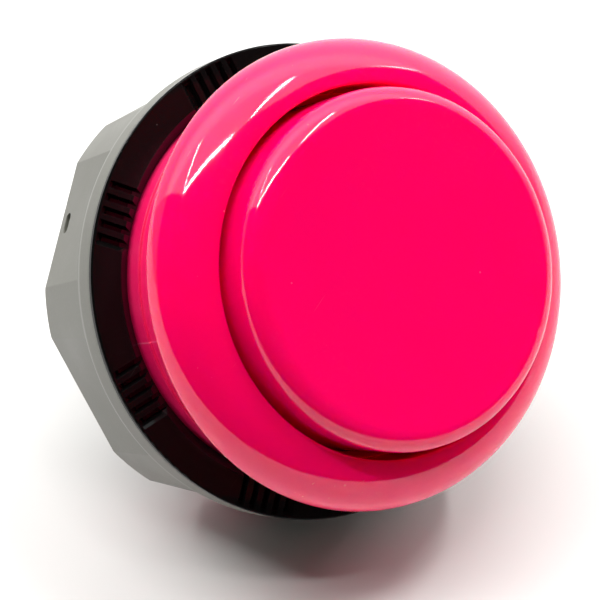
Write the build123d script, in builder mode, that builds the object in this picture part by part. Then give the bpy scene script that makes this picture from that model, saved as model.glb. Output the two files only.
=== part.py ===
from build123d import *
import os

# All sizes are in millimetres. Z = 0 is the front of the panel and +Z points out of it.

# Panel hole and thread
panel_hole_radius = 15.0
panel_clearance = 0.3
thread_radius = panel_hole_radius - panel_clearance
thread_length = 17.6
nut_clearance = 0.05
ring_clearance = 0.1

# Rim of the body
rim_radius = 16.7
rim_gap = 0.55
lip_round = 0.2
rim_back_round = 0.15

# Plunger and its guide
plunger_radius = 12.45
plunger_height = 6.45
plunger_edge_round = 1.4
plunger_wall = 1.2
plunger_plate = 1.4
plunger_clearance = 0.08
guide_top = -1.4
guide_entry = 0.4
guide_bottom = -4.0
stop_gap = 0.05
lug_height = 1.1
lug_reach = 0.55
lug_width = 5.0
lug_clearance = 0.1
boss_radius = 2.75
web_thickness = 1.0
web_depth = 3.5
web_overlap = 0.3
lug_radius = plunger_radius + lug_reach
lug_top = guide_bottom - stop_gap
skirt_bottom = lug_top - lug_height
skirt_inner_radius = plunger_radius - plunger_wall
plate_bottom = plunger_height - plunger_plate
guide_radius = plunger_radius + plunger_clearance
hole_radius = plunger_radius + rim_gap
rim_round = rim_radius - hole_radius - lip_round

# Rear of the body
bore_radius = lug_radius + lug_clearance
body_end = -19.5
tail_step = 0.3
tail_radius = thread_radius - tail_step
thread_end_chamfer = 0.5
window_width = 5.0
window_height = 1.3
window_top = -17.75

# Clamp ring
ring_front = -6.9
ring_reach = 3.05
ring_flange = 0.45
ring_hub_step = 0.5
ring_hub_depth = 1.2
ring_edge_round = 0.12
ring_bore_chamfer = 0.7
groove_count = 5
groove_pitch = 0.95
groove_top_width = 0.54
groove_bottom_width = 0.3
groove_depth = 0.6
groove_end_depth = 0.3
groove_end_lip = 0.23
groove_rise = 0.3
end_wall_width = 0.3
end_wall_depth = 0.4
group_count = 8
first_group_angle = 22.5
ring_radius = thread_radius + ring_reach
ring_back = ring_front - ring_flange
ring_hub_radius = ring_radius - ring_hub_step
ring_bore_radius = thread_radius + ring_clearance
groove_outer_radius = ring_radius - groove_end_lip
groove_rise_radius = ring_hub_radius - groove_rise
end_groove_place = groove_pitch * (groove_count - 1) / 2
ring_hub_back = ring_back - ring_hub_depth

# Lock nut
nut_back = -16.9
nut_draft = 0.25
collar_back = -9.35
recess_clearance = 0.1
flat_depth_front = 0.67
flat_depth_back = 0.69
nut_front_round = 0.2
nut_back_round = 0.3
nut_bore_chamfer = 0.4
gate_height = -15.3
gate_length = 1.6
gate_width = 0.9
gate_depth = 0.5
flat_cut_reach = 2.0
flat_cut_half_width = 6.0
nut_bore_radius = thread_radius + nut_clearance
nut_back_radius = ring_radius - nut_draft
nut_flat_front = ring_radius - flat_depth_front
nut_flat_back = nut_back_radius - flat_depth_back
nut_recess_radius = ring_hub_radius + recess_clearance
nut_recess_floor = ring_hub_back - recess_clearance

# Switch holder
deck_top = -10.0
deck_thickness = 1.5
holder_clearance = 0.05
holder_wall = 1.2
holder_flange = 1.2
hook_reach = 0.9
hook_clearance = 0.15
cover_clearance = 0.05
cover_seat_step = 0.6
screw_boss_radius = 1.7
screw_circle_radius = 9.4
holder_radius = bore_radius - holder_clearance
holder_inner_radius = holder_radius - holder_wall
deck_bottom = deck_top - deck_thickness
flange_back = body_end - holder_flange
cover_seat_radius = holder_inner_radius + cover_seat_step
cover_radius = cover_seat_radius - cover_clearance

# Key switch
switch_size = 13.9
switch_hole_clearance = 0.05
switch_flange_size = 15.6
switch_flange_corner = 1.2
switch_flange = 1.0
switch_depth = 5.0
switch_wall = 1.25
switch_floor = 1.2
spring_post_radius = 0.9
spring_post_height = 1.8
locating_post_radius = 2.0
cap_base_size = 14.0
cap_top_length = 10.6
cap_top_width = 10.0
cap_height = 5.6
cap_wall = 1.0
stem_length = 7.0
stem_width = 5.6
stem_clearance = 0.1
stem_flange_length = 8.2
stem_flange_width = 7.0
stem_flange = 1.15
stem_post_height = 2.4
leg_length = 3.0
leg_thickness = 0.8
leg_height = 3.0
cross_length = 4.0
cross_bar_x = 1.25
cross_bar_y = 1.05
cross_height = 3.6
cross_clearance = 0.05
socket_extra = 0.2
flange_top = deck_top + switch_flange
cap_top = flange_top + cap_height
cap_roof = cap_top - cap_wall
switch_bottom = deck_top - switch_depth
floor_top = switch_bottom + switch_floor
stem_shoulder = cap_top
stem_flange_top = cap_roof - stop_gap
stem_flange_bottom = stem_flange_top - stem_flange

# Return spring
wire_radius = 0.2
spring_radius = 1.7
spring_turns = 6

# Contacts
pin_width = 0.9
pin_slot_clearance = 0.05
leaf_distance = 4.05
leaf_thickness = 0.2
leaf_left = -4.4
leaf_right = 3.4
leaf_top = -9.5
leaf_bottom = -13.0
leaf_foot = 1.6
leaf_pin_distance = -3.8
fixed_distance = 4.9
fixed_thickness = 0.3
fixed_left = -1.0
fixed_right = 4.2
fixed_pin_distance = 2.5
point_radius = 0.5
point_distance = 1.5
point_height = -10.4
contact_gap = 0.25
pin_end = -18.3

# Circuit board, screws and terminals
board_radius = 11.4
board_thickness = 1.2
board_hole_clearance = 0.05
pin_hole_radius = 0.6
board_bottom = switch_bottom - board_thickness
screw_radius = 0.95
screw_clearance = 0.05
screw_hole_clearance = 0.15
screw_head_radius = 1.7
screw_head_height = 1.2
screw_depth = 2.6
screw_tip_gap = 0.6
screw_head_round = 0.5
screw_slot_width = 0.5
screw_slot_depth = 0.5
terminal_circle_radius = 8.6
blade_width = 2.8
blade_thickness = 0.5
blade_reach = 6.8
blade_tip_chamfer = 0.6
blade_hole_radius = 0.6
blade_hole_inset = 3.4
tail_width = 1.0
tail_height = 0.6
tail_clearance = 0.05
slot_clearance = 0.2
blade_end = flange_back - blade_reach

os.makedirs("parts", exist_ok=True)

# Body: the rim, the neck and the bores are one revolved profile
with BuildPart() as button_body:
    with BuildSketch(Plane.XZ):
        with BuildLine():
            CenterArc((rim_radius - rim_round, 0), rim_round, 0, 90)
            CenterArc((hole_radius + lip_round, rim_round - lip_round), lip_round, 90, 90)
            Polyline(
                (hole_radius, rim_round - lip_round),
                (hole_radius, guide_top + guide_entry),
                (guide_radius, guide_top),
                (guide_radius, guide_bottom),
                (bore_radius, guide_bottom),
                (bore_radius, body_end),
                (tail_radius, body_end),
                (tail_radius, -thread_length),
                (thread_radius, -thread_length + thread_end_chamfer),
                (thread_radius, 0),
                (rim_radius, 0),
            )
        make_face()
    revolve(axis=Axis.Z)
    fillet(edges().filter_by(GeomType.CIRCLE).group_by(SortBy.RADIUS)[-1], rim_back_round)
    with BuildSketch(Plane.XY.offset(window_top)):
        with PolarLocations((bore_radius + tail_radius) / 2, 2):
            Rectangle(2 * (tail_radius - bore_radius), window_width)
    extrude(amount=-window_height, mode=Mode.SUBTRACT)
button_body.part.label = "button_body"
export_step(button_body.part, "parts/button_body.step")

# Plunger: cap, skirt and boss revolved, then webs, stop lugs and the socket
with BuildPart() as plunger:
    with BuildSketch(Plane.XZ):
        with BuildLine():
            Line((0, plunger_height), (plunger_radius - plunger_edge_round, plunger_height))
            CenterArc(
                (plunger_radius - plunger_edge_round, plunger_height - plunger_edge_round),
                plunger_edge_round, 0, 90,
            )
            Polyline(
                (plunger_radius, plunger_height - plunger_edge_round),
                (plunger_radius, skirt_bottom),
                (skirt_inner_radius, skirt_bottom),
                (skirt_inner_radius, plate_bottom),
                (boss_radius, plate_bottom),
                (boss_radius, stem_shoulder),
                (0, stem_shoulder),
                (0, plunger_height),
            )
        make_face()
    revolve(axis=Axis.Z)
    with BuildSketch(Plane.XY.offset(plate_bottom)):
        Rectangle(2 * skirt_inner_radius + web_overlap, web_thickness)
        Rectangle(web_thickness, 2 * skirt_inner_radius + web_overlap)
    extrude(amount=-web_depth)
    with BuildSketch(Plane.XY.offset(lug_top)):
        Rectangle(4 * lug_radius, lug_width)
        Rectangle(lug_width, 4 * lug_radius)
        Circle(lug_radius, mode=Mode.INTERSECT)
        Circle(skirt_inner_radius, mode=Mode.SUBTRACT)
    extrude(amount=-lug_height)
    with BuildSketch(Plane.XY.offset(stem_shoulder)):
        Rectangle(cross_length + 2 * cross_clearance, cross_bar_x + 2 * cross_clearance)
        Rectangle(cross_bar_y + 2 * cross_clearance, cross_length + 2 * cross_clearance)
    extrude(amount=cross_height + socket_extra, mode=Mode.SUBTRACT)
plunger.part.label = "plunger"
export_step(plunger.part, "parts/plunger.step")

# One group of parallel grooves with sloped end walls, cut to a floor that rises to their outer ends
with BuildPart() as groove_group:
    with BuildSketch(Plane.YZ):
        with GridLocations(groove_pitch, 0, groove_count, 1):
            with Locations((0, ring_front)):
                Polygon(
                    (-groove_top_width / 2, 0),
                    (-groove_bottom_width / 2, -groove_depth),
                    (groove_bottom_width / 2, -groove_depth),
                    (groove_top_width / 2, 0),
                    align=None,
                )
        with Locations((end_groove_place, ring_front)):
            end_wall = Polygon(
                (0, 0),
                (0, -end_wall_depth),
                (groove_bottom_width / 2, -end_wall_depth),
                (groove_top_width / 2 + end_wall_width, 0),
                align=None,
            )
        mirror(end_wall, about=Plane.XZ)
    extrude(amount=ring_radius)
    with BuildSketch(Plane.XZ):
        Polygon(
            (thread_radius, ring_front),
            (groove_outer_radius, ring_front),
            (groove_outer_radius, ring_front - groove_end_depth),
            (ring_hub_radius, ring_front - groove_end_depth),
            (groove_rise_radius, ring_front - groove_depth),
            (thread_radius, ring_front - groove_depth),
            align=None,
        )
    revolve(axis=Axis.Z, mode=Mode.INTERSECT)

# Clamp ring: thin flange on a hub that sits in the nut, with the grooves in its face
with BuildPart() as clamp_ring:
    with BuildSketch(Plane.XZ):
        with BuildLine():
            Line(
                (ring_bore_radius + ring_bore_chamfer, ring_front),
                (ring_radius - ring_edge_round, ring_front),
            )
            CenterArc(
                (ring_radius - ring_edge_round, ring_front - ring_edge_round),
                ring_edge_round, 0, 90,
            )
            Polyline(
                (ring_radius, ring_front - ring_edge_round),
                (ring_radius, ring_back),
                (ring_hub_radius, ring_back),
                (ring_hub_radius, ring_hub_back),
                (ring_bore_radius, ring_hub_back),
                (ring_bore_radius, ring_front - ring_bore_chamfer),
                (ring_bore_radius + ring_bore_chamfer, ring_front),
            )
        make_face()
    revolve(axis=Axis.Z)
    with PolarLocations(0, group_count, start_angle=first_group_angle):
        add(groove_group.part, mode=Mode.SUBTRACT)
clamp_ring.part.label = "clamp_ring"
export_step(clamp_ring.part, "parts/clamp_ring.step")

# Wedge that cuts one drafted wrench flat
with BuildPart() as flat_cut:
    with BuildSketch(Plane.XZ):
        Polygon(
            (nut_flat_front, collar_back),
            (nut_flat_back, nut_back + nut_back_round),
            (nut_flat_back - nut_back_round, nut_back),
            (ring_radius + flat_cut_reach, nut_back),
            (ring_radius + flat_cut_reach, collar_back),
            align=None,
        )
    extrude(amount=flat_cut_half_width, both=True)

# Lock nut: collar and drafted lands revolved, then the flats and the moulding recess
with BuildPart() as lock_nut:
    with BuildSketch(Plane.XZ):
        Polygon(
            (nut_recess_radius, ring_back),
            (ring_radius, ring_back),
            (ring_radius, collar_back),
            (nut_back_radius, nut_back),
            (nut_bore_radius, nut_back),
            (nut_bore_radius, nut_recess_floor),
            (nut_recess_radius, nut_recess_floor),
            align=None,
        )
    revolve(axis=Axis.Z)
    back_edges = edges().filter_by(GeomType.CIRCLE).group_by(Axis.Z)[0].sort_by(SortBy.RADIUS)
    front_edges = edges().filter_by(GeomType.CIRCLE).group_by(Axis.Z)[-1].sort_by(SortBy.RADIUS)
    chamfer(back_edges[0], nut_bore_chamfer)
    fillet(back_edges[-1], nut_back_round)
    fillet(front_edges[-1], nut_front_round)
    with PolarLocations(0, group_count, start_angle=first_group_angle):
        add(flat_cut.part, mode=Mode.SUBTRACT)
    with BuildSketch(Plane.XY.rotated((0, 0, first_group_angle)) * Plane(
        origin=(nut_flat_back, 0, gate_height), x_dir=(0, 1, 0), z_dir=(1, 0, 0)
    )):
        SlotOverall(gate_length, gate_width)
    extrude(amount=gate_depth, both=True, mode=Mode.SUBTRACT)
lock_nut.part.label = "lock_nut"
export_step(lock_nut.part, "parts/lock_nut.step")

# Switch holder: plug with a deck for the switch, a rear flange, screw bosses and snap hooks
with BuildPart() as switch_holder:
    with BuildSketch(Plane.XZ):
        Polygon(
            (0, deck_top),
            (holder_radius, deck_top),
            (holder_radius, body_end),
            (tail_radius, body_end),
            (tail_radius, flange_back),
            (cover_seat_radius, flange_back),
            (cover_seat_radius, body_end),
            (holder_inner_radius, body_end),
            (holder_inner_radius, deck_bottom),
            (0, deck_bottom),
            align=None,
        )
    revolve(axis=Axis.Z)
    with BuildSketch(Plane.XY.offset(deck_top)):
        Rectangle(switch_size + 2 * switch_hole_clearance, switch_size + 2 * switch_hole_clearance)
    extrude(amount=-deck_thickness, mode=Mode.SUBTRACT)
    with BuildSketch(Plane.XY.offset(deck_bottom)):
        with PolarLocations(screw_circle_radius, 2, start_angle=90):
            Circle(screw_boss_radius)
    extrude(amount=switch_bottom - deck_bottom)
    with BuildSketch(Plane.XY.offset(switch_bottom)):
        with PolarLocations(screw_circle_radius, 2, start_angle=90):
            Circle(screw_radius + screw_clearance)
    extrude(amount=screw_depth, mode=Mode.SUBTRACT)
    with BuildSketch(Plane.XY.offset(window_top - hook_clearance)):
        with PolarLocations(0, 2):
            with Locations((holder_radius + hook_reach / 2 - holder_wall / 4, 0)):
                Rectangle(hook_reach + holder_wall / 2, window_width - 2 * hook_clearance)
    extrude(amount=-window_height + 2 * hook_clearance)
switch_holder.part.label = "switch_holder"
export_step(switch_holder.part, "parts/switch_holder.step")

# Rear cover: plain disc in the holder's seat, with a slot for each blade
with BuildPart() as rear_cover:
    with BuildSketch(Plane.XY.offset(body_end)):
        Circle(cover_radius)
        with PolarLocations(terminal_circle_radius, 2):
            Rectangle(
                blade_thickness + 2 * slot_clearance, blade_width + 2 * slot_clearance,
                mode=Mode.SUBTRACT,
            )
    extrude(amount=-holder_flange)
rear_cover.part.label = "rear_cover"
export_step(rear_cover.part, "parts/rear_cover.step")

# Circuit board: round board under the switch
with BuildPart() as circuit_board:
    with BuildSketch(Plane.XY.offset(switch_bottom)):
        Circle(board_radius)
        Circle(locating_post_radius + board_hole_clearance, mode=Mode.SUBTRACT)
        with Locations((leaf_pin_distance, leaf_distance), (fixed_pin_distance, fixed_distance)):
            Circle(pin_hole_radius, mode=Mode.SUBTRACT)
        with PolarLocations(screw_circle_radius, 2, start_angle=90):
            Circle(screw_radius + screw_hole_clearance, mode=Mode.SUBTRACT)
        with PolarLocations(terminal_circle_radius, 2):
            Rectangle(
                blade_thickness + 2 * tail_clearance, tail_width + 2 * tail_clearance,
                mode=Mode.SUBTRACT,
            )
    extrude(amount=-board_thickness)
circuit_board.part.label = "circuit_board"
export_step(circuit_board.part, "parts/circuit_board.step")

# Switch base: lower half of the key switch, open at the top
with BuildPart() as switch_base:
    with BuildSketch(Plane.XY.offset(switch_bottom)):
        Rectangle(switch_size, switch_size)
    extrude(amount=switch_depth)
    with BuildSketch(Plane.XY.offset(deck_top)) as flange_outline:
        Rectangle(switch_flange_size, switch_flange_size)
        chamfer(flange_outline.vertices(), switch_flange_corner)
    extrude(amount=switch_flange)
    with BuildSketch(Plane.XY.offset(floor_top)):
        Rectangle(switch_size - 2 * switch_wall, switch_size - 2 * switch_wall)
    extrude(amount=flange_top - floor_top, mode=Mode.SUBTRACT)
    with BuildSketch(Plane.XY.offset(floor_top)):
        Circle(spring_post_radius)
    extrude(amount=spring_post_height)
    with BuildSketch(Plane.XY.offset(switch_bottom)):
        Circle(locating_post_radius)
    extrude(amount=pin_end - switch_bottom)
    with BuildSketch(Plane.XY.offset(floor_top)):
        with Locations((leaf_pin_distance, leaf_distance)):
            Rectangle(pin_width + 2 * pin_slot_clearance, leaf_thickness + 2 * pin_slot_clearance)
        with Locations((fixed_pin_distance, fixed_distance)):
            Rectangle(pin_width + 2 * pin_slot_clearance, fixed_thickness + 2 * pin_slot_clearance)
    extrude(amount=-switch_floor, mode=Mode.SUBTRACT)
switch_base.part.label = "switch_base"
export_step(switch_base.part, "parts/switch_base.step")

# Switch cap: tapered upper half of the key switch, with the opening for the stem
with BuildPart() as switch_cap:
    with BuildSketch(Plane.XY.offset(flange_top)):
        Rectangle(cap_base_size, cap_base_size)
    with BuildSketch(Plane.XY.offset(cap_top)):
        Rectangle(cap_top_length, cap_top_width)
    loft()
    with BuildSketch(Plane.XY.offset(flange_top)):
        Rectangle(cap_base_size - 2 * cap_wall, cap_base_size - 2 * cap_wall)
    with BuildSketch(Plane.XY.offset(cap_roof)):
        Rectangle(cap_top_length - cap_wall, cap_top_width - cap_wall)
    loft(mode=Mode.SUBTRACT)
    with BuildSketch(Plane.XY.offset(cap_top)):
        Rectangle(stem_length + 2 * stem_clearance, stem_width + 2 * stem_clearance)
    extrude(amount=-cap_wall, mode=Mode.SUBTRACT)
switch_cap.part.label = "switch_cap"
export_step(switch_cap.part, "parts/switch_cap.step")

# Switch stem: cross, slider, stop flange, spring post and the leg that works the leaf
with BuildPart() as switch_stem:
    with BuildSketch(Plane.XY.offset(stem_shoulder)):
        Rectangle(cross_length, cross_bar_x)
        Rectangle(cross_bar_y, cross_length)
    extrude(amount=cross_height)
    with BuildSketch(Plane.XY.offset(stem_shoulder)):
        Rectangle(stem_length, stem_width)
    extrude(amount=stem_flange_top - stem_shoulder)
    with BuildSketch(Plane.XY.offset(stem_flange_top)):
        Rectangle(stem_flange_length, stem_flange_width)
    extrude(amount=-stem_flange)
    with BuildSketch(Plane.XY.offset(stem_flange_bottom)):
        Circle(spring_post_radius)
    extrude(amount=-stem_post_height)
    with BuildSketch(Plane.XY.offset(stem_flange_bottom)):
        with Locations((0, (stem_flange_width - leg_thickness) / 2)):
            Rectangle(leg_length, leg_thickness)
    extrude(amount=-leg_height)
switch_stem.part.label = "switch_stem"
export_step(switch_stem.part, "parts/switch_stem.step")

# Return spring: round wire on a helix between the base and the stem
spring_length = stem_flange_bottom - floor_top - 2 * wire_radius
with BuildPart() as return_spring:
    with BuildLine(Plane.XY.offset(floor_top + wire_radius)) as spring_path:
        Helix(spring_length / spring_turns, spring_length, spring_radius)
    with BuildSketch(Plane(
        origin=spring_path.edges()[0] @ 0, z_dir=spring_path.edges()[0] % 0
    )):
        Circle(wire_radius)
    sweep(path=spring_path.edges()[0], is_frenet=True)
return_spring.part.label = "return_spring"
export_step(return_spring.part, "parts/return_spring.step")

# Moving contact: leaf with a foot and a pin through the base
with BuildPart() as moving_contact:
    with BuildSketch(Plane.XZ.offset(-leaf_distance)):
        Polygon(
            (leaf_left, leaf_top),
            (leaf_right, leaf_top),
            (leaf_right, leaf_bottom),
            (leaf_left + leaf_foot, leaf_bottom),
            (leaf_left + leaf_foot, floor_top),
            (leaf_pin_distance + pin_width / 2, floor_top),
            (leaf_pin_distance + pin_width / 2, pin_end),
            (leaf_pin_distance - pin_width / 2, pin_end),
            (leaf_pin_distance - pin_width / 2, floor_top),
            (leaf_left, floor_top),
            align=None,
        )
    extrude(amount=leaf_thickness / 2, both=True)
moving_contact.part.label = "moving_contact"
export_step(moving_contact.part, "parts/moving_contact.step")

# Fixed contact: plate with a contact point and a pin through the base
with BuildPart() as fixed_contact:
    with BuildSketch(Plane.XZ.offset(-fixed_distance)):
        Polygon(
            (fixed_left, leaf_top),
            (fixed_right, leaf_top),
            (fixed_right, floor_top),
            (fixed_pin_distance + pin_width / 2, floor_top),
            (fixed_pin_distance + pin_width / 2, pin_end),
            (fixed_pin_distance - pin_width / 2, pin_end),
            (fixed_pin_distance - pin_width / 2, floor_top),
            (fixed_left, floor_top),
            align=None,
        )
    extrude(amount=fixed_thickness / 2, both=True)
    with BuildSketch(Plane.XZ.offset(-leaf_distance - leaf_thickness / 2 - contact_gap)):
        with Locations((point_distance, point_height)):
            Circle(point_radius)
    extrude(amount=-(fixed_distance - leaf_distance - leaf_thickness / 2 - contact_gap))
fixed_contact.part.label = "fixed_contact"
export_step(fixed_contact.part, "parts/fixed_contact.step")

# Screws from the rear through the board into the bosses of the holder
with BuildPart() as board_screws:
    with BuildSketch(Plane.XY.offset(board_bottom)):
        with PolarLocations(screw_circle_radius, 2, start_angle=90):
            Circle(screw_head_radius)
    extrude(amount=-screw_head_height)
    fillet(edges().filter_by(GeomType.CIRCLE).group_by(Axis.Z)[0], screw_head_round)
    with BuildSketch(Plane.XY.offset(board_bottom)):
        with PolarLocations(screw_circle_radius, 2, start_angle=90):
            Circle(screw_radius)
    extrude(amount=board_thickness + screw_depth - screw_tip_gap)
    with BuildSketch(Plane.XY.offset(board_bottom - screw_head_height)):
        with PolarLocations(screw_circle_radius, 2, start_angle=90):
            Rectangle(2 * screw_head_radius, screw_slot_width)
    extrude(amount=screw_slot_depth, mode=Mode.SUBTRACT)
board_screws.part.label = "board_screws"
export_step(board_screws.part, "parts/board_screws.step")

# Terminal: blade through the cover, with a narrow tail through the board
with BuildPart() as terminal:
    with BuildSketch(Plane.YZ.offset(terminal_circle_radius)) as blade_outline:
        with BuildLine():
            Polyline(
                (-tail_width / 2, switch_bottom + tail_height),
                (tail_width / 2, switch_bottom + tail_height),
                (tail_width / 2, board_bottom),
                (blade_width / 2, board_bottom),
                (blade_width / 2, blade_end + blade_tip_chamfer),
                (blade_width / 2 - blade_tip_chamfer, blade_end),
                (-blade_width / 2 + blade_tip_chamfer, blade_end),
                (-blade_width / 2, blade_end + blade_tip_chamfer),
                (-blade_width / 2, board_bottom),
                (-tail_width / 2, board_bottom),
                close=True,
            )
        make_face()
        with Locations((0, blade_end + blade_hole_inset)):
            Circle(blade_hole_radius, mode=Mode.SUBTRACT)
    extrude(amount=blade_thickness / 2, both=True)
for name, turn in (("terminal_right", 0), ("terminal_left", 180)):
    blade = terminal.part.rotate(Axis.Z, turn)
    blade.label = name
    export_step(blade, "parts/" + name + ".step")
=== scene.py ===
import math

import bpy
from mathutils import Matrix, Vector


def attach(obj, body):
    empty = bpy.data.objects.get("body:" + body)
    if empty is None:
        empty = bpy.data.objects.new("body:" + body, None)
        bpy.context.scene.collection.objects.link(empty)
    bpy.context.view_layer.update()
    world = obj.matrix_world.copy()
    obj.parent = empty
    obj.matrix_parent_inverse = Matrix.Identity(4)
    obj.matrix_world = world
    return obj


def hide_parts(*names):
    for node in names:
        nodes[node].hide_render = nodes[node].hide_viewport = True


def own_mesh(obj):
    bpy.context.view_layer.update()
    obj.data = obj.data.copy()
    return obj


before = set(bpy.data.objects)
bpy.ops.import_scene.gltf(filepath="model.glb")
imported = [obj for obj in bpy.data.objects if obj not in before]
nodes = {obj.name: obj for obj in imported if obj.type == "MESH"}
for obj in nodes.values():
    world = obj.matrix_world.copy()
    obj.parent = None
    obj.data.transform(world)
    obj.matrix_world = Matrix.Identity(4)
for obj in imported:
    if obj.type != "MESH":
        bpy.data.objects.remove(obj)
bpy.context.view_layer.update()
MM = 0.001

# Camera at the photograph's viewing angle
CAMERA_PLACE = Vector((0.042106, 0.042275, 0.096177))
RIGHT = Vector((-0.697983, -0.522973, 0.489203))
UP = Vector((0.621886, -0.781381, 0.051972))
BACK = Vector((0.355074, 0.340504, 0.870621))
LENS, SENSOR = 96.0, 36.0
NEAREST, FARTHEST = 0.001, 10.0


def turned_to(x_axis, y_axis, z_axis):
    return Matrix((x_axis, y_axis, z_axis)).transposed().to_4x4()


def place_camera():
    data = bpy.data.cameras.new("camera")
    data.sensor_width = SENSOR
    data.lens = LENS
    data.clip_start = NEAREST
    data.clip_end = FARTHEST
    camera = bpy.data.objects.new("camera", data)
    bpy.context.scene.collection.objects.link(camera)
    camera.matrix_world = Matrix.Translation(CAMERA_PLACE) @ turned_to(RIGHT, UP, BACK)
    bpy.context.scene.camera = camera
    bpy.context.scene.view_settings.view_transform = "Standard"


place_camera()


# Short ways to build node trees
def link(tree, a, b):
    tree.links.new(a, b)


def math_node(tree, operation, a, b=None, clamp=False):
    node = tree.nodes.new("ShaderNodeMath")
    node.operation = operation
    node.use_clamp = clamp
    for place, value in enumerate((a, b)):
        if value is None:
            continue
        if isinstance(value, (int, float)):
            node.inputs[place].default_value = value
        else:
            link(tree, value, node.inputs[place])
    return node.outputs[0]


def step(tree, value, low, high):
    """A soft rise from 0 at low to 1 at high, or a fall where low is the larger."""
    node = tree.nodes.new("ShaderNodeMapRange")
    node.interpolation_type = "SMOOTHSTEP"
    link(tree, value, node.inputs["Value"])
    node.inputs["From Min"].default_value = low
    node.inputs["From Max"].default_value = high
    return node.outputs["Result"]


def dot(tree, vector, constant):
    node = tree.nodes.new("ShaderNodeVectorMath")
    node.operation = "DOT_PRODUCT"
    link(tree, vector, node.inputs[0])
    node.inputs[1].default_value = constant
    return node.outputs["Value"]


def product(tree, *values):
    total = values[0]
    for value in values[1:]:
        total = math_node(tree, "MULTIPLY", total, value)
    return total


def plus(tree, value, other, share=1.0, clamp=False):
    """The value with a share of another added."""
    return math_node(tree, "ADD", value, math_node(tree, "MULTIPLY", other, share), clamp)


def highest(tree, *values):
    most = values[0]
    for value in values[1:]:
        most = math_node(tree, "MAXIMUM", most, value)
    return most


def band(tree, value, low, high, soft):
    rising = step(tree, value, low - soft, low + soft)
    falling = step(tree, value, high + soft, high - soft)
    return product(tree, rising, falling)


def between(tree, share, a, b):
    """A value that runs from a to b as the share runs from 0 to 1."""
    node = tree.nodes.new("ShaderNodeMix")
    link(tree, share, node.inputs["Factor"])
    for socket, value in ((node.inputs["A"], a), (node.inputs["B"], b)):
        if isinstance(value, float):
            socket.default_value = value
        else:
            link(tree, value, socket)
    return node.outputs["Result"]


def blend(tree, share, a, b):
    """A colour that runs from a to b as the share runs from 0 to 1."""
    node = tree.nodes.new("ShaderNodeMix")
    node.data_type = "RGBA"
    link(tree, share, node.inputs["Factor"])
    for socket, value in ((node.inputs[6], a), (node.inputs[7], b)):
        if isinstance(value, tuple):
            socket.default_value = value
        else:
            link(tree, value, socket)
    return node.outputs[2]


def mix_shaders(tree, share, first, second):
    node = tree.nodes.new("ShaderNodeMixShader")
    link(tree, share, node.inputs["Fac"])
    link(tree, first, node.inputs[1])
    link(tree, second, node.inputs[2])
    return node.outputs["Shader"]


# Studio: white cloth behind and above, dark to the front, lamp strips in the roof
WALL_GLOW = 0.5
RIGHT_GLOW, RIGHT_TOP_GLOW = 0.8, 1.8
CLOTH_LEFT, CLOTH_RIGHT = 1.2, 2.1
BOX_GLOW, BOX_MIDDLE = 2.3, 3.6
DARK_GLOW = 0.03
STRIP_GLOW = 105.0
RIGHT_STRIP_SHARE, LEFT_STRIP_SHARE = 0.16, 0.5
WHITE_BEHIND = (0.992, 0.992, 0.972, 1.0)
# Where a light begins to show and where it is full, along the camera's right, up and back directions
UPPER, BEHIND, RIGHT_SIDE, RIGHT_TOP = (0.1, 0.2), (0.12, 0.04), (0.2, 0.5), (0.25, 0.5)
# Places in the roof, across it and towards the camera, are shares of its height
LOWEST_ROOF = 0.05
ROOF_LEFT, ROOF_RIGHT, ROOF_FRONT = (-1.97, -1.91), (1.25, 1.19), (1.12, 1.06)
ROOF_SLANT, MIDDLE_SLANT, LEFT_SLANT = -0.7, -0.28, 0.57
FRONT_JOG, JOG_PLACE = -0.13, (0.6, 0.5)
CLOTH_ACROSS, BOX_START, BOX_BRIGHT = (-1.0, 1.0), (-0.3, -0.05), (0.0, 0.4, 0.12)
# Each lamp strip: its two edges and how soft they are, then its two ends and how soft they are
FRONT_STRIP = ((0.99, 1.07, 0.02), (-1.04, 0.36, 0.03))
MIDDLE_STRIP = ((0.3, 0.36, 0.02), (0.5, 1.04, 0.03))
RIGHT_STRIP = ((1.12, 1.2, 0.02), (0.1, 0.4, 0.1))
LEFT_STRIP = ((-0.42, -0.37, 0.015), (0.42, 1.1, 0.03))


def lamp_strip(tree, across, along, shape):
    edges, ends = shape
    return product(tree, band(tree, across, *edges), band(tree, along, *ends))


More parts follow.
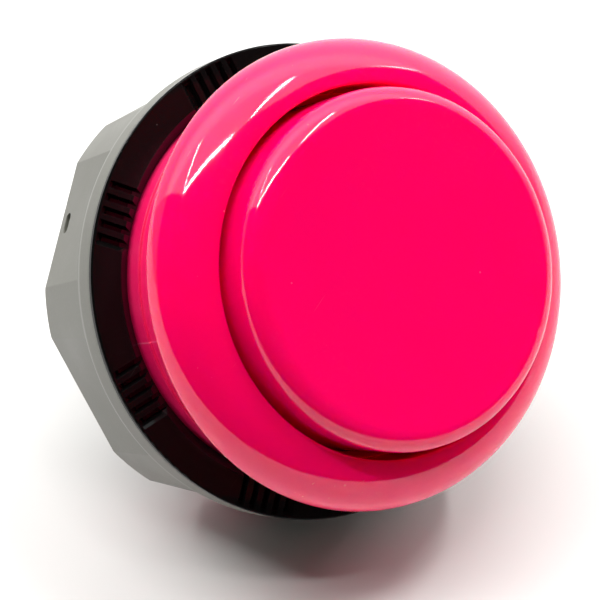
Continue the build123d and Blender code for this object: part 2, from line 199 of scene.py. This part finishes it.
def make_studio():
    world = bpy.data.worlds.new("studio")
    bpy.context.scene.world = world
    world.use_nodes = True
    tree = world.node_tree
    tree.nodes.clear()
    place = tree.nodes.new("ShaderNodeTexCoord").outputs["Generated"]
    across = dot(tree, place, RIGHT)
    above = dot(tree, place, UP)
    toward = dot(tree, place, BACK)
    high = math_node(tree, "MAXIMUM", above, LOWEST_ROOF)
    roof_x = math_node(tree, "DIVIDE", across, high)
    roof_z = math_node(tree, "DIVIDE", toward, high)
    upper = step(tree, above, *UPPER)

    right_glow = between(tree, step(tree, above, *RIGHT_TOP), RIGHT_GLOW, RIGHT_TOP_GLOW)
    wall_glow = between(tree, step(tree, across, *RIGHT_SIDE), WALL_GLOW, right_glow)
    wall = product(tree, step(tree, toward, *BEHIND), wall_glow)

    front_z = plus(tree, roof_z, step(tree, roof_x, *JOG_PLACE), FRONT_JOG)
    roof_left = step(tree, plus(tree, roof_x, roof_z, ROOF_SLANT), *ROOF_LEFT)
    roof_right = step(tree, roof_x, *ROOF_RIGHT)
    roof_front = step(tree, front_z, *ROOF_FRONT)
    cloth_glow = between(tree, step(tree, roof_x, *CLOTH_ACROSS), CLOTH_LEFT, CLOTH_RIGHT)
    box_glow = between(tree, band(tree, roof_z, *BOX_BRIGHT), BOX_GLOW, BOX_MIDDLE)
    roof_glow = between(tree, step(tree, roof_z, *BOX_START), cloth_glow, box_glow)
    roof = product(tree, upper, roof_left, roof_right, roof_front, roof_glow)

    front = lamp_strip(tree, front_z, roof_x, FRONT_STRIP)
    middle = lamp_strip(tree, plus(tree, roof_x, roof_z, MIDDLE_SLANT), roof_z, MIDDLE_STRIP)
    right = lamp_strip(tree, roof_x, roof_z, RIGHT_STRIP)
    left = lamp_strip(tree, plus(tree, roof_x, roof_z, LEFT_SLANT), roof_z, LEFT_STRIP)
    sides = plus(tree, product(tree, right, RIGHT_STRIP_SHARE), left, LEFT_STRIP_SHARE)
    strips = product(tree, upper, highest(tree, front, middle, sides))

    lit = tree.nodes.new("ShaderNodeBackground")
    link(tree, plus(tree, highest(tree, wall, roof, DARK_GLOW), strips, STRIP_GLOW), lit.inputs["Strength"])
    plain = tree.nodes.new("ShaderNodeBackground")
    plain.inputs["Color"].default_value = WHITE_BEHIND
    seen = tree.nodes.new("ShaderNodeLightPath").outputs["Is Camera Ray"]
    out = tree.nodes.new("ShaderNodeOutputWorld")
    shown = mix_shaders(tree, seen, lit.outputs["Background"], plain.outputs["Background"])
    link(tree, shown, out.inputs["Surface"])


make_studio()


# Shared surface effects as node groups, all on object coordinates
def new_group(name, colors, values):
    """A group with two colours and two values going in, and colour, roughness and height coming out."""
    group = bpy.data.node_groups.new(name, "ShaderNodeTree")
    for label in colors:
        group.interface.new_socket(label, in_out="INPUT", socket_type="NodeSocketColor")
    for label in values:
        group.interface.new_socket(label, in_out="INPUT", socket_type="NodeSocketFloat")
    group.interface.new_socket("Color", in_out="OUTPUT", socket_type="NodeSocketColor")
    for label in ("Roughness", "Height"):
        group.interface.new_socket(label, in_out="OUTPUT", socket_type="NodeSocketFloat")
    given = group.nodes.new("NodeGroupInput").outputs
    place = group.nodes.new("ShaderNodeTexCoord").outputs["Object"]
    return group, given, place


def put_out(group, color, rough, height):
    made = group.nodes.new("NodeGroupOutput")
    link(group, color, made.inputs["Color"])
    link(group, rough, made.inputs["Roughness"])
    link(group, height, made.inputs["Height"])
    return group


def noise(tree, place, scale, detail=2.0, rough=0.5):
    node = tree.nodes.new("ShaderNodeTexNoise")
    link(tree, place, node.inputs["Vector"])
    node.inputs["Scale"].default_value = scale
    node.inputs["Detail"].default_value = detail
    node.inputs["Roughness"].default_value = rough
    return node.outputs["Fac"]


def stretch(tree, place, turn, scale):
    node = tree.nodes.new("ShaderNodeMapping")
    link(tree, place, node.inputs["Vector"])
    node.inputs["Rotation"].default_value = turn
    node.inputs["Scale"].default_value = scale
    return node.outputs["Vector"]


# Specks: how much of a grain is solid, and how much of the share has grains at their full strength
SPECK_SOLID, SPECK_SURE = 0.4, 0.8


def specks(tree, place, scale, size, share):
    """Round grains of one size, in a share of the cells."""
    node = tree.nodes.new("ShaderNodeTexVoronoi")
    link(tree, place, node.inputs["Vector"])
    node.inputs["Scale"].default_value = scale
    dots = step(tree, node.outputs["Distance"], size, size * SPECK_SOLID)
    chance = tree.nodes.new("ShaderNodeSeparateColor")
    link(tree, node.outputs["Color"], chance.inputs["Color"])
    chosen = step(tree, chance.outputs[0], 1.0 - share, 1.0 - share * SPECK_SURE)
    return product(tree, dots, chosen)


# Scratches: how far the noise is drawn out, how sharp the lines are, and the patches that have them
SCRATCH_DRAW = (5200.0, 160.0, 5200.0)
SCRATCH_EDGE = 0.05
PATCH_SCALE, PATCH_RANGE = 190.0, (0.58, 0.66)


def scratches(tree, place, turn, rarity):
    """Fine lines in one direction, in patches."""
    lines = noise(tree, stretch(tree, place, turn, SCRATCH_DRAW), 1.0, 1.0)
    patches = noise(tree, place, PATCH_SCALE, 1.0)
    return product(tree, step(tree, lines, rarity, rarity + SCRATCH_EDGE), step(tree, patches, *PATCH_RANGE))


# Polished plastic with dust, haze and light scratches
HAZE_NOISE, HAZE_RANGE, HAZE_SHARE = (3400.0, 2.0, 0.6), (0.5, 0.8), 0.05
DRIFT_NOISE, DRIFT_RANGE, DRIFT_ROUGH = (130.0, 2.0), (0.42, 0.7), 0.03
COARSE_DUST, FINE_DUST = (330.0, 0.055, 0.11), (900.0, 0.09, 0.1)
ONE_WAY, OTHER_WAY = ((0.3, 0.2, 0.5), 0.74), ((0.1, 0.4, -0.8), 0.75)
MARK_SHARE, MARK_DEPTH, COVER_ROUGH = 0.5, -0.4, 0.4
RIPPLE_NOISE, RIPPLE_HEIGHT = (260.0, 1.0), 0.3


def make_gloss():
    group, given, place = new_group("moulded_gloss", ("Color", "Dust Color"), ("Dust", "Roughness"))
    haze = step(group, noise(group, place, *HAZE_NOISE), *HAZE_RANGE)
    drift = step(group, noise(group, place, *DRIFT_NOISE), *DRIFT_RANGE)
    coarse = specks(group, place, *COARSE_DUST)
    grains = math_node(group, "ADD", coarse, specks(group, place, *FINE_DUST))
    marks = math_node(
        group, "ADD", scratches(group, place, *ONE_WAY), scratches(group, place, *OTHER_WAY))
    cover = plus(group, grains, product(group, haze, drift), HAZE_SHARE)
    cover = plus(group, cover, marks, MARK_SHARE)
    cover = math_node(group, "MULTIPLY", cover, given["Dust"], clamp=True)
    color = blend(group, cover, given["Color"], given["Dust Color"])
    rough = plus(group, given["Roughness"], drift, DRIFT_ROUGH)
    rough = plus(group, rough, cover, COVER_ROUGH, clamp=True)
    height = plus(group, grains, noise(group, place, *RIPPLE_NOISE), RIPPLE_HEIGHT)
    height = plus(group, height, marks, MARK_DEPTH)
    return put_out(group, color, rough, height)


# Plastic with a fine moulded grain, clouds of wear and rub marks
GRAIN_NOISE, GRAIN_RANGE, GRAIN_SHARE = (5200.0, 3.0, 0.65), (0.5, 0.75), 0.5
CLOUD_NOISE, CLOUD_RANGE, CLOUD_SHARE = (240.0, 3.0), (0.4, 0.75), 0.35
RUBS = ((0.2, 0.7, 0.4), 0.72)
CLOUD_ROUGH = 0.16


def make_satin():
    group, given, place = new_group("moulded_satin", ("Color", "Worn Color"), ("Wear", "Roughness"))
    grain = noise(group, place, *GRAIN_NOISE)
    cloud = noise(group, place, *CLOUD_NOISE)
    worn = plus(group, scratches(group, place, *RUBS), step(group, cloud, *CLOUD_RANGE), CLOUD_SHARE)
    worn = plus(group, worn, step(group, grain, *GRAIN_RANGE), GRAIN_SHARE)
    worn = math_node(group, "MULTIPLY", worn, given["Wear"], clamp=True)
    color = blend(group, worn, given["Color"], given["Worn Color"])
    rough = plus(group, given["Roughness"], cloud, CLOUD_ROUGH)
    rough = math_node(group, "SUBTRACT", rough, 0.5 * CLOUD_ROUGH, clamp=True)
    return put_out(group, color, rough, grain)


# Drawn or rolled metal with fine lines and tarnish
METAL_DRAW = (7000.0, 7000.0, 260.0)
STAIN_NOISE, STAIN_RANGE = (420.0, 4.0, 0.6), (0.45, 0.75)
LINE_ROUGH, STAIN_ROUGH = 0.15, 0.3


def make_metal():
    group, given, place = new_group("drawn_metal", ("Color", "Tarnish Color"), ("Tarnish", "Roughness"))
    lines = noise(group, stretch(group, place, (0.0, 0.0, 0.0), METAL_DRAW), 1.0)
    stain = step(group, noise(group, place, *STAIN_NOISE), *STAIN_RANGE)
    stain = math_node(group, "MULTIPLY", stain, given["Tarnish"], clamp=True)
    color = blend(group, stain, given["Color"], given["Tarnish Color"])
    rough = plus(group, given["Roughness"], lines, LINE_ROUGH)
    rough = plus(group, rough, stain, STAIN_ROUGH, clamp=True)
    return put_out(group, color, rough, lines)


GLOSS = make_gloss()
SATIN = make_satin()
METAL = make_metal()


EDGE_SAMPLES = 6


def surface(name, group, color, second, amount, rough, bump, edge=0.0, metal=0.0, specular=0.5):
    """A material whose colour, roughness and relief come from one shared group."""
    made = bpy.data.materials.new(name)
    made.use_nodes = True
    tree = made.node_tree
    shader = tree.nodes["Principled BSDF"]
    shader.inputs["Metallic"].default_value = metal
    shader.inputs["Specular IOR Level"].default_value = specular
    node = tree.nodes.new("ShaderNodeGroup")
    node.node_tree = group
    node.name = "finish"
    for place, value in enumerate(((*color, 1.0), (*second, 1.0), amount, rough)):
        node.inputs[place].default_value = value
    link(tree, node.outputs["Color"], shader.inputs["Base Color"])
    link(tree, node.outputs["Roughness"], shader.inputs["Roughness"])
    relief = tree.nodes.new("ShaderNodeBump")
    relief.inputs["Distance"].default_value = bump
    link(tree, node.outputs["Height"], relief.inputs["Height"])
    if edge:
        rounded = tree.nodes.new("ShaderNodeBevel")
        rounded.samples = EDGE_SAMPLES
        rounded.inputs["Radius"].default_value = edge
        link(tree, rounded.outputs["Normal"], relief.inputs["Normal"])
    link(tree, relief.outputs["Normal"], shader.inputs["Normal"])
    return made


# Each finish: its colour, its dust, worn or tarnish colour, how much of that, roughness, relief, edge radius
pink = surface("pink_gloss", GLOSS, (0.94, 0.0, 0.118), (1.0, 0.22, 0.32), 0.5, 0.05, 4e-7)
neck_pink = surface(
    "pink_textured", SATIN, (0.98, 0.004, 0.125), (1.0, 0.09, 0.22), 0.5, 0.46, 1.8e-5, specular=0.4)
black = surface(
    "black_gloss", GLOSS, (0.003, 0.003, 0.003), (0.35, 0.33, 0.32), 0.15, 0.09, 4e-7, 4e-5, specular=0.09)
grey = surface("grey_satin", SATIN, (0.101, 0.1, 0.081), (0.139, 0.137, 0.113), 0.7, 0.36, 5e-6, 1.5e-4)
dark = surface("black_satin", SATIN, (0.012, 0.012, 0.013), (0.05, 0.05, 0.05), 0.7, 0.42, 6e-6, 1e-4)
charcoal = surface("switch_shell", SATIN, (0.02, 0.02, 0.022), (0.06, 0.06, 0.06), 0.5, 0.35, 4e-6, 1e-4)
red = surface("stem_red", SATIN, (0.5, 0.02, 0.02), (0.6, 0.12, 0.1), 0.5, 0.35, 3e-6, 8e-5)
green = surface("board_mask", SATIN, (0.012, 0.13, 0.05), (0.04, 0.2, 0.09), 0.6, 0.3, 4e-6, 6e-5)
brass = surface("terminal_brass", METAL, (0.72, 0.52, 0.24), (0.3, 0.19, 0.08), 0.5, 0.28, 2e-6, 6e-5, 1.0)
contact = surface("contact_brass", METAL, (0.8, 0.6, 0.3), (0.4, 0.26, 0.12), 0.3, 0.22, 2e-6, 4e-5, 1.0)
steel = surface("spring_steel", METAL, (0.58, 0.58, 0.6), (0.25, 0.24, 0.22), 0.3, 0.25, 2e-6, 3e-5, 1.0)
zinc = surface("screw_zinc", METAL, (0.66, 0.67, 0.68), (0.4, 0.38, 0.33), 0.4, 0.3, 2e-6, 6e-5, 1.0)


def where(tree):
    """Object coordinates of a material, apart."""
    parted = tree.nodes.new("ShaderNodeSeparateXYZ")
    link(tree, tree.nodes.new("ShaderNodeTexCoord").outputs["Object"], parted.inputs["Vector"])
    return parted.outputs["X"], parted.outputs["Y"], parted.outputs["Z"]


# Polished pink: light soaks a little way into the plastic, which keeps the gap round the plunger red
SOAK_DEPTH = 1.5 * MM
SOAK_COLOR = (1.0, 0.15, 0.3)


def soak_pink():
    shader = pink.node_tree.nodes["Principled BSDF"]
    shader.inputs["Subsurface Weight"].default_value = 1.0
    shader.inputs["Subsurface Radius"].default_value = SOAK_COLOR
    shader.inputs["Subsurface Scale"].default_value = SOAK_DEPTH


# Ring: the mould's polish shows along its bore
BORE_EDGE = 15.55 * MM
BORE_POLISH = 0.4
BORE_POLISH_ROUGH = 0.05
SHARP = 0.02 * MM


def polish_ring_bore():
    tree = black.node_tree
    x, y, z = where(tree)
    radius = math_node(tree, "SQRT", math_node(tree, "ADD", product(tree, x, x), product(tree, y, y)))
    bore = step(tree, radius, BORE_EDGE + SHARP, BORE_EDGE - SHARP)
    shader = tree.nodes["Principled BSDF"]
    link(tree, product(tree, bore, BORE_POLISH), shader.inputs["Coat Weight"])
    shader.inputs["Coat Roughness"].default_value = BORE_POLISH_ROUGH


# Nut: painted highlights on its edges, at the front and where the flats end, painted in pale grey
FLATS_END, NUT_FRONT = -9.35 * MM, -7.35 * MM
HIGHLIGHT_BELOW, HIGHLIGHT_ABOVE, HIGHLIGHT_SOFT = 0.05 * MM, 0.22 * MM, 0.12 * MM
FRONT_HIGHLIGHT_START, FRONT_HIGHLIGHT_FULL = 0.22 * MM, 0.1 * MM
# Pale grey of the painted edge highlights
HIGHLIGHT_GREY = (0.2, 0.2, 0.18, 1.0)


def paint_nut_edge_highlights():
    tree = grey.node_tree
    z = where(tree)[2]
    # Painted highlights: a band where the flats end and a band along the front edge
    flat_edge = band(tree, z, FLATS_END - HIGHLIGHT_BELOW, FLATS_END + HIGHLIGHT_ABOVE, HIGHLIGHT_SOFT)
    front_edge = step(tree, z, NUT_FRONT - FRONT_HIGHLIGHT_START, NUT_FRONT - FRONT_HIGHLIGHT_FULL)
    highlighted = highest(tree, flat_edge, front_edge)
    paler = blend(tree, highlighted, tree.nodes["finish"].outputs["Color"], HIGHLIGHT_GREY)
    link(tree, paler, tree.nodes["Principled BSDF"].inputs["Base Color"])


# Neck: the mould's parting line drawn with a pale painted highlight, painted shade on the half below it, and
# a painted shadow in the crease of the step where the thread begins
PARTING = math.radians(56.5)
PARTING_HALF_WIDTH, PARTING_SOFT = 0.05 * MM, 0.03 * MM
# The parting line is a real ridge; its pale pink is a painted highlight along it
PARTING_HIGHLIGHT_PINK = (1.0, 0.12, 0.25, 1.0)
# Painted shade: the half below the parting line is a deeper pink
SHADED_PINK, SHADE_SHARE = (0.8, 0.0, 0.1, 1.0), 0.2
STEP_FOOT, STEP_HEAD = -5.9 * MM, -5.8 * MM
# Painted shadow: a dark pink band in the crease of the neck's step
CREASE_SHADOW_PINK, CREASE_SHADOW_SHARE = (0.4, 0.0, 0.05, 1.0), 0.5


def paint_neck_shade_and_highlight():
    tree = neck_pink.node_tree
    x, y, z = where(tree)
    beside = plus(tree, product(tree, y, math.cos(PARTING)), x, -math.sin(PARTING))
    along = plus(tree, product(tree, x, math.cos(PARTING)), y, math.sin(PARTING))
    one_side = step(tree, along, 0.0, MM)
    # Pale painted highlight along the parting line's ridge, on one side of the neck only
    line = product(tree, one_side, band(tree, beside, -PARTING_HALF_WIDTH, PARTING_HALF_WIDTH, PARTING_SOFT))
    # Painted shade on the half below the parting line
    shaded_half = step(tree, beside, -PARTING_SOFT, PARTING_SOFT)
    # Painted shadow in the crease of the step
    crease_shadow = band(tree, z, STEP_FOOT, STEP_HEAD, SHARP)
    color = tree.nodes["finish"].outputs["Color"]
    color = blend(tree, product(tree, shaded_half, SHADE_SHARE), color, SHADED_PINK)
    color = blend(tree, product(tree, crease_shadow, CREASE_SHADOW_SHARE), color, CREASE_SHADOW_PINK)
    color = blend(tree, line, color, PARTING_HIGHLIGHT_PINK)
    link(tree, color, tree.nodes["Principled BSDF"].inputs["Base Color"])


soak_pink()
polish_ring_bore()
paint_nut_edge_highlights()
paint_neck_shade_and_highlight()

# The finish of each piece that comes from the solids
finish = {
    "plunger": pink, "clamp_ring": black, "lock_nut": grey, "switch_holder": dark, "rear_cover": dark,
    "circuit_board": green, "switch_base": charcoal, "switch_cap": charcoal, "switch_stem": red,
    "fixed_contact": contact, "moving_contact": contact, "terminal_left": brass, "terminal_right": brass,
    "board_screws": zinc,
}
for name, made in finish.items():
    nodes[name].data.materials.clear()
    nodes[name].data.materials.append(made)


# Short ways to model a piece by hand
WELD = 1e-7


def new_piece(name):
    made = bpy.context.object
    made.name = name
    made.data.name = name
    return made


def arc(x, z, radius, first, last, count):
    turns = [math.radians(first + (last - first) * k / count) for k in range(count + 1)]
    return [(x + radius * math.cos(a), z + radius * math.sin(a)) for a in turns]


def draw_line(name, points):
    """A line in the XZ plane: one point, extruded to the next and the next; it stays in edit mode."""
    bpy.ops.object.select_all(action="DESELECT")
    bpy.ops.mesh.primitive_plane_add(size=MM)
    drawn = new_piece(name)
    bpy.ops.object.mode_set(mode="EDIT")
    bpy.ops.mesh.merge(type="CENTER")
    old_x, old_z = 0.0, 0.0
    for number, (x, z) in enumerate(points):
        move = {"value": ((x - old_x) * MM, 0.0, (z - old_z) * MM)}
        if number:
            bpy.ops.mesh.extrude_vertices_move(TRANSFORM_OT_translate=move)
        else:
            bpy.ops.transform.translate(**move)
        old_x, old_z = x, z
    bpy.ops.mesh.select_all(action="SELECT")
    return drawn


def wind(piece, turns, rise, steps):
    """Wind the piece's section about the Z axis; negative turns go the other way round."""
    wound = piece.modifiers.new("wind", "SCREW")
    wound.axis = "Z"
    wound.angle = 2 * math.pi * turns
    wound.screw_offset = rise * MM
    wound.steps = steps
    wound.render_steps = steps
    bpy.ops.object.modifier_apply(modifier=wound.name)


def close_ends(sides):
    bpy.ops.object.mode_set(mode="EDIT")
    bpy.ops.mesh.select_all(action="SELECT")
    bpy.ops.mesh.fill_holes(sides=sides)
    close_shell()


def close_shell():
    bpy.ops.mesh.select_all(action="SELECT")
    bpy.ops.mesh.remove_doubles(threshold=WELD)
    bpy.ops.mesh.normals_make_consistent(inside=False)
    bpy.ops.mesh.select_all(action="DESELECT")
    bpy.ops.object.mode_set(mode="OBJECT")


def cut(piece, cutter):
    """Take the cutter's shape out of the piece, and then the cutter away."""
    bpy.context.view_layer.objects.active = piece
    taken = piece.modifiers.new("cut", "BOOLEAN")
    taken.solver = "EXACT"
    taken.object = cutter
    bpy.ops.object.modifier_apply(modifier=taken.name)
    bpy.data.objects.remove(cutter)


# Body with its thread: a profile spun about the axis, less the tail's windows and a helical groove
# Its measures are in millimetres
AROUND = 240
HOLE, RIM, RIM_ROUND, LIP, BACK_ROUND = 13.0, 16.7, 3.5, 0.2, 0.15
GUIDE, BORE, NECK, RELIEF, TAIL = 12.53, 13.1, 14.7, 14.5, 14.4
GUIDE_TOP, GUIDE_FUNNEL, GUIDE_BOTTOM = -1.0, -1.4, -4.0
NECK_ROOT, STEP_ROUND, STEP_PLACE = 0.1, 0.035, -5.85
STEP_ROOT, STEP_DROP = 0.03, 0.01
THREAD_START, THREAD_END, TAIL_TOP, TAIL_END = -7.6, -17.1, -17.6, -19.5
WINDOW_TOP, WINDOW_BOTTOM, WINDOW_WIDTH, WINDOW_REACH = -17.75, -19.05, 5.0, 57.6
LIP_STEPS, RIM_STEPS, BACK_STEPS, ROOT_STEPS = 6, 40, 5, 3
PITCH, GROOVE_WIDTH, ROOT_WIDTH, GROOVE_DEPTH = 2.0, 0.9, 0.35, 0.4
CUTTER_REACH, RUN_OUT_LIFT = 0.5, 0.46
NECK_TOP, NECK_INSIDE = -0.05, 14.0
BODY_CREASE = math.radians(28)


def body_profile():
    rim_start = math.degrees(math.asin(BACK_ROUND / RIM_ROUND))
    back_place = RIM - RIM_ROUND + RIM_ROUND * math.cos(math.radians(rim_start)) - BACK_ROUND
    bore = [(BORE, TAIL_END), (BORE, GUIDE_BOTTOM)]
    guide = [(GUIDE, GUIDE_BOTTOM), (GUIDE, GUIDE_FUNNEL), (HOLE, GUIDE_TOP)]
    lip = arc(HOLE + LIP, RIM_ROUND - LIP, LIP, 180, 90, LIP_STEPS)
    rim = arc(HOLE + LIP, 0.0, RIM_ROUND, 90, rim_start, RIM_STEPS)[1:]
    back = arc(back_place, BACK_ROUND, BACK_ROUND, 0, -90, BACK_STEPS)[1:]
    root = arc(RELIEF + NECK_ROOT, -NECK_ROOT, NECK_ROOT, 90, 180, ROOT_STEPS)
    neck_step = [(RELIEF, STEP_PLACE + STEP_ROUND), (RELIEF + STEP_ROOT, STEP_PLACE),
                 (NECK - STEP_ROOT, STEP_PLACE - STEP_DROP), (NECK, STEP_PLACE - STEP_ROUND)]
    tail = [(NECK, THREAD_END), (TAIL, TAIL_TOP), (TAIL, TAIL_END), (BORE, TAIL_END)]
    return bore + guide + lip + rim + back + root + neck_step + tail


def make_window_cutter():
    bpy.ops.object.select_all(action="DESELECT")
    bpy.ops.mesh.primitive_cube_add(size=1.0, location=(0.0, 0.0, 0.5 * (WINDOW_TOP + WINDOW_BOTTOM) * MM))
    cutter = new_piece("window_cutter")
    cutter.scale = (WINDOW_REACH * MM, WINDOW_WIDTH * MM, (WINDOW_TOP - WINDOW_BOTTOM) * MM)
    bpy.ops.object.transform_apply(location=True, rotation=False, scale=True)
    return cutter


def make_groove_cutter():
    """The groove's section, wound down the neck right-handed; it rises out of the neck at both ends."""
    half_width, half_root = 0.5 * GROOVE_WIDTH, 0.5 * ROOT_WIDTH
    flare = half_width + (half_width - half_root) * CUTTER_REACH / GROOVE_DEPTH
    first_turn = THREAD_START - 0.5 * PITCH
    root_place, outside = NECK - GROOVE_DEPTH, NECK + CUTTER_REACH
    section = [(root_place, first_turn + half_root), (root_place, first_turn - half_root),
               (outside, first_turn - flare), (outside, first_turn + flare)]
    cutter = draw_line("groove_cutter", section)
    bpy.ops.mesh.edge_face_add()
    bpy.ops.mesh.select_all(action="DESELECT")
    bpy.ops.object.mode_set(mode="OBJECT")
    turns = (THREAD_START - THREAD_END) / PITCH - 1.0
    columns = round(AROUND * turns)
    wind(cutter, -turns, -PITCH * turns, columns)
    bpy.ops.object.mode_set(mode="EDIT")
    bpy.ops.mesh.select_all(action="DESELECT")
    bpy.ops.object.mode_set(mode="OBJECT")
    run_out = AROUND // 3
    for k in list(range(run_out)) + list(range(columns - run_out + 1, columns + 1)):
        share = min(k, columns - k) / run_out
        lift = 1.0 + RUN_OUT_LIFT * (1.0 - share * share * (3.0 - 2.0 * share)) / root_place
        for corner in range(len(section)):
            cutter.data.vertices[k * len(section) + corner].select = True
        bpy.ops.object.mode_set(mode="EDIT")
        bpy.ops.transform.resize(value=(lift, lift, 1.0), center_override=(0.0, 0.0, 0.0))
        bpy.ops.mesh.select_all(action="DESELECT")
        bpy.ops.object.mode_set(mode="OBJECT")
    close_ends(len(section))
    return cutter


def make_threaded_body():
    body = draw_line("threaded_body", body_profile())
    bpy.ops.mesh.spin(steps=AROUND, angle=2 * math.pi, center=(0.0, 0.0, 0.0), axis=(0.0, 0.0, 1.0))
    close_shell()
    cut(body, make_window_cutter())
    cut(body, make_groove_cutter())
    body.data.materials.append(pink)
    body.data.materials.append(neck_pink)
    for face in body.data.polygons:
        on_neck = face.center.z < NECK_TOP * MM and face.center.xy.length > NECK_INSIDE * MM
        face.material_index = int(on_neck)
    bpy.ops.object.select_all(action="DESELECT")
    body.select_set(True)
    bpy.context.view_layer.objects.active = body
    bpy.ops.object.shade_smooth_by_angle(angle=BODY_CREASE)
    return body


threaded_body = make_threaded_body()
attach(threaded_body, "body")
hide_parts("button_body")

# Return spring, in millimetres: one wire section wound up the axis
WIRE, COIL, SPRING_FOOT, SPRING_HEAD, COILS = 0.2, 1.7, -13.79, -5.61, 6
WIRE_SIDES, COIL_STEPS, STROKE = 12, 40, 3.01
WIRE_CREASE = math.radians(40)
spring_length = SPRING_HEAD - SPRING_FOOT


def make_coil_spring():
    bpy.ops.object.select_all(action="DESELECT")
    bpy.ops.mesh.primitive_circle_add(
        vertices=WIRE_SIDES, radius=WIRE * MM, location=(COIL * MM, 0.0, (SPRING_FOOT + WIRE) * MM),
        rotation=(0.5 * math.pi, 0.0, 0.0))
    spring = new_piece("coil_spring")
    bpy.ops.object.transform_apply(location=True, rotation=True, scale=False)
    wind(spring, COILS, spring_length - 2 * WIRE, COIL_STEPS * COILS)
    close_ends(WIRE_SIDES)
    bpy.ops.object.shade_smooth_by_angle(angle=WIRE_CREASE)
    spring.data.materials.append(steel)
    return spring


coil_spring = make_coil_spring()
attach(coil_spring, "body")
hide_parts("return_spring")
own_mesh(coil_spring)

# Table that the button lies on in the photograph, seen from its upper side only
LOOK_DOWN = math.radians(40)
TABLE_FRONT = 0.055
TABLE_LENGTH = 2.0
TABLE_LIT, TABLE_SEEN = (0.75, 0.75, 0.74, 1.0), (0.64, 0.633, 0.617, 1.0)
TABLE_ROUGH = 0.9


def make_table_finish():
    ground = bpy.data.materials.new("floor")
    ground.use_nodes = True
    tree = ground.node_tree
    shader = tree.nodes["Principled BSDF"]
    path = tree.nodes.new("ShaderNodeLightPath").outputs
    seen = highest(tree, path["Is Camera Ray"], path["Is Glossy Ray"])
    link(tree, blend(tree, seen, TABLE_LIT, TABLE_SEEN), shader.inputs["Base Color"])
    shader.inputs["Roughness"].default_value = TABLE_ROUGH
    shader.inputs["Specular IOR Level"].default_value = 0.0
    behind = tree.nodes.new("ShaderNodeNewGeometry").outputs["Backfacing"]
    clear = tree.nodes.new("ShaderNodeBsdfTransparent")
    shown = mix_shaders(tree, behind, shader.outputs["BSDF"], clear.outputs["BSDF"])
    link(tree, shown, tree.nodes["Material Output"].inputs["Surface"])
    return ground


def make_table():
    vertical = UP * math.cos(LOOK_DOWN) + BACK * math.sin(LOOK_DOWN)
    forward = BACK * math.cos(LOOK_DOWN) - UP * math.sin(LOOK_DOWN)
    lowest = min(
        (node.matrix_world @ v.co).dot(vertical) for node in nodes.values() for v in node.data.vertices)
    middle = vertical * lowest + forward * (TABLE_FRONT - TABLE_LENGTH / 2)
    bpy.ops.object.select_all(action="DESELECT")
    bpy.ops.mesh.primitive_plane_add(size=1.0)
    table = bpy.context.object
    table.name = "floor"
    spread = Matrix.Diagonal((TABLE_LENGTH, TABLE_LENGTH, 1.0, 1.0))
    table.matrix_world = Matrix.Translation(middle) @ turned_to(RIGHT, -forward, vertical) @ spread
    table.data.materials.append(make_table_finish())
    return table


floor = make_table()
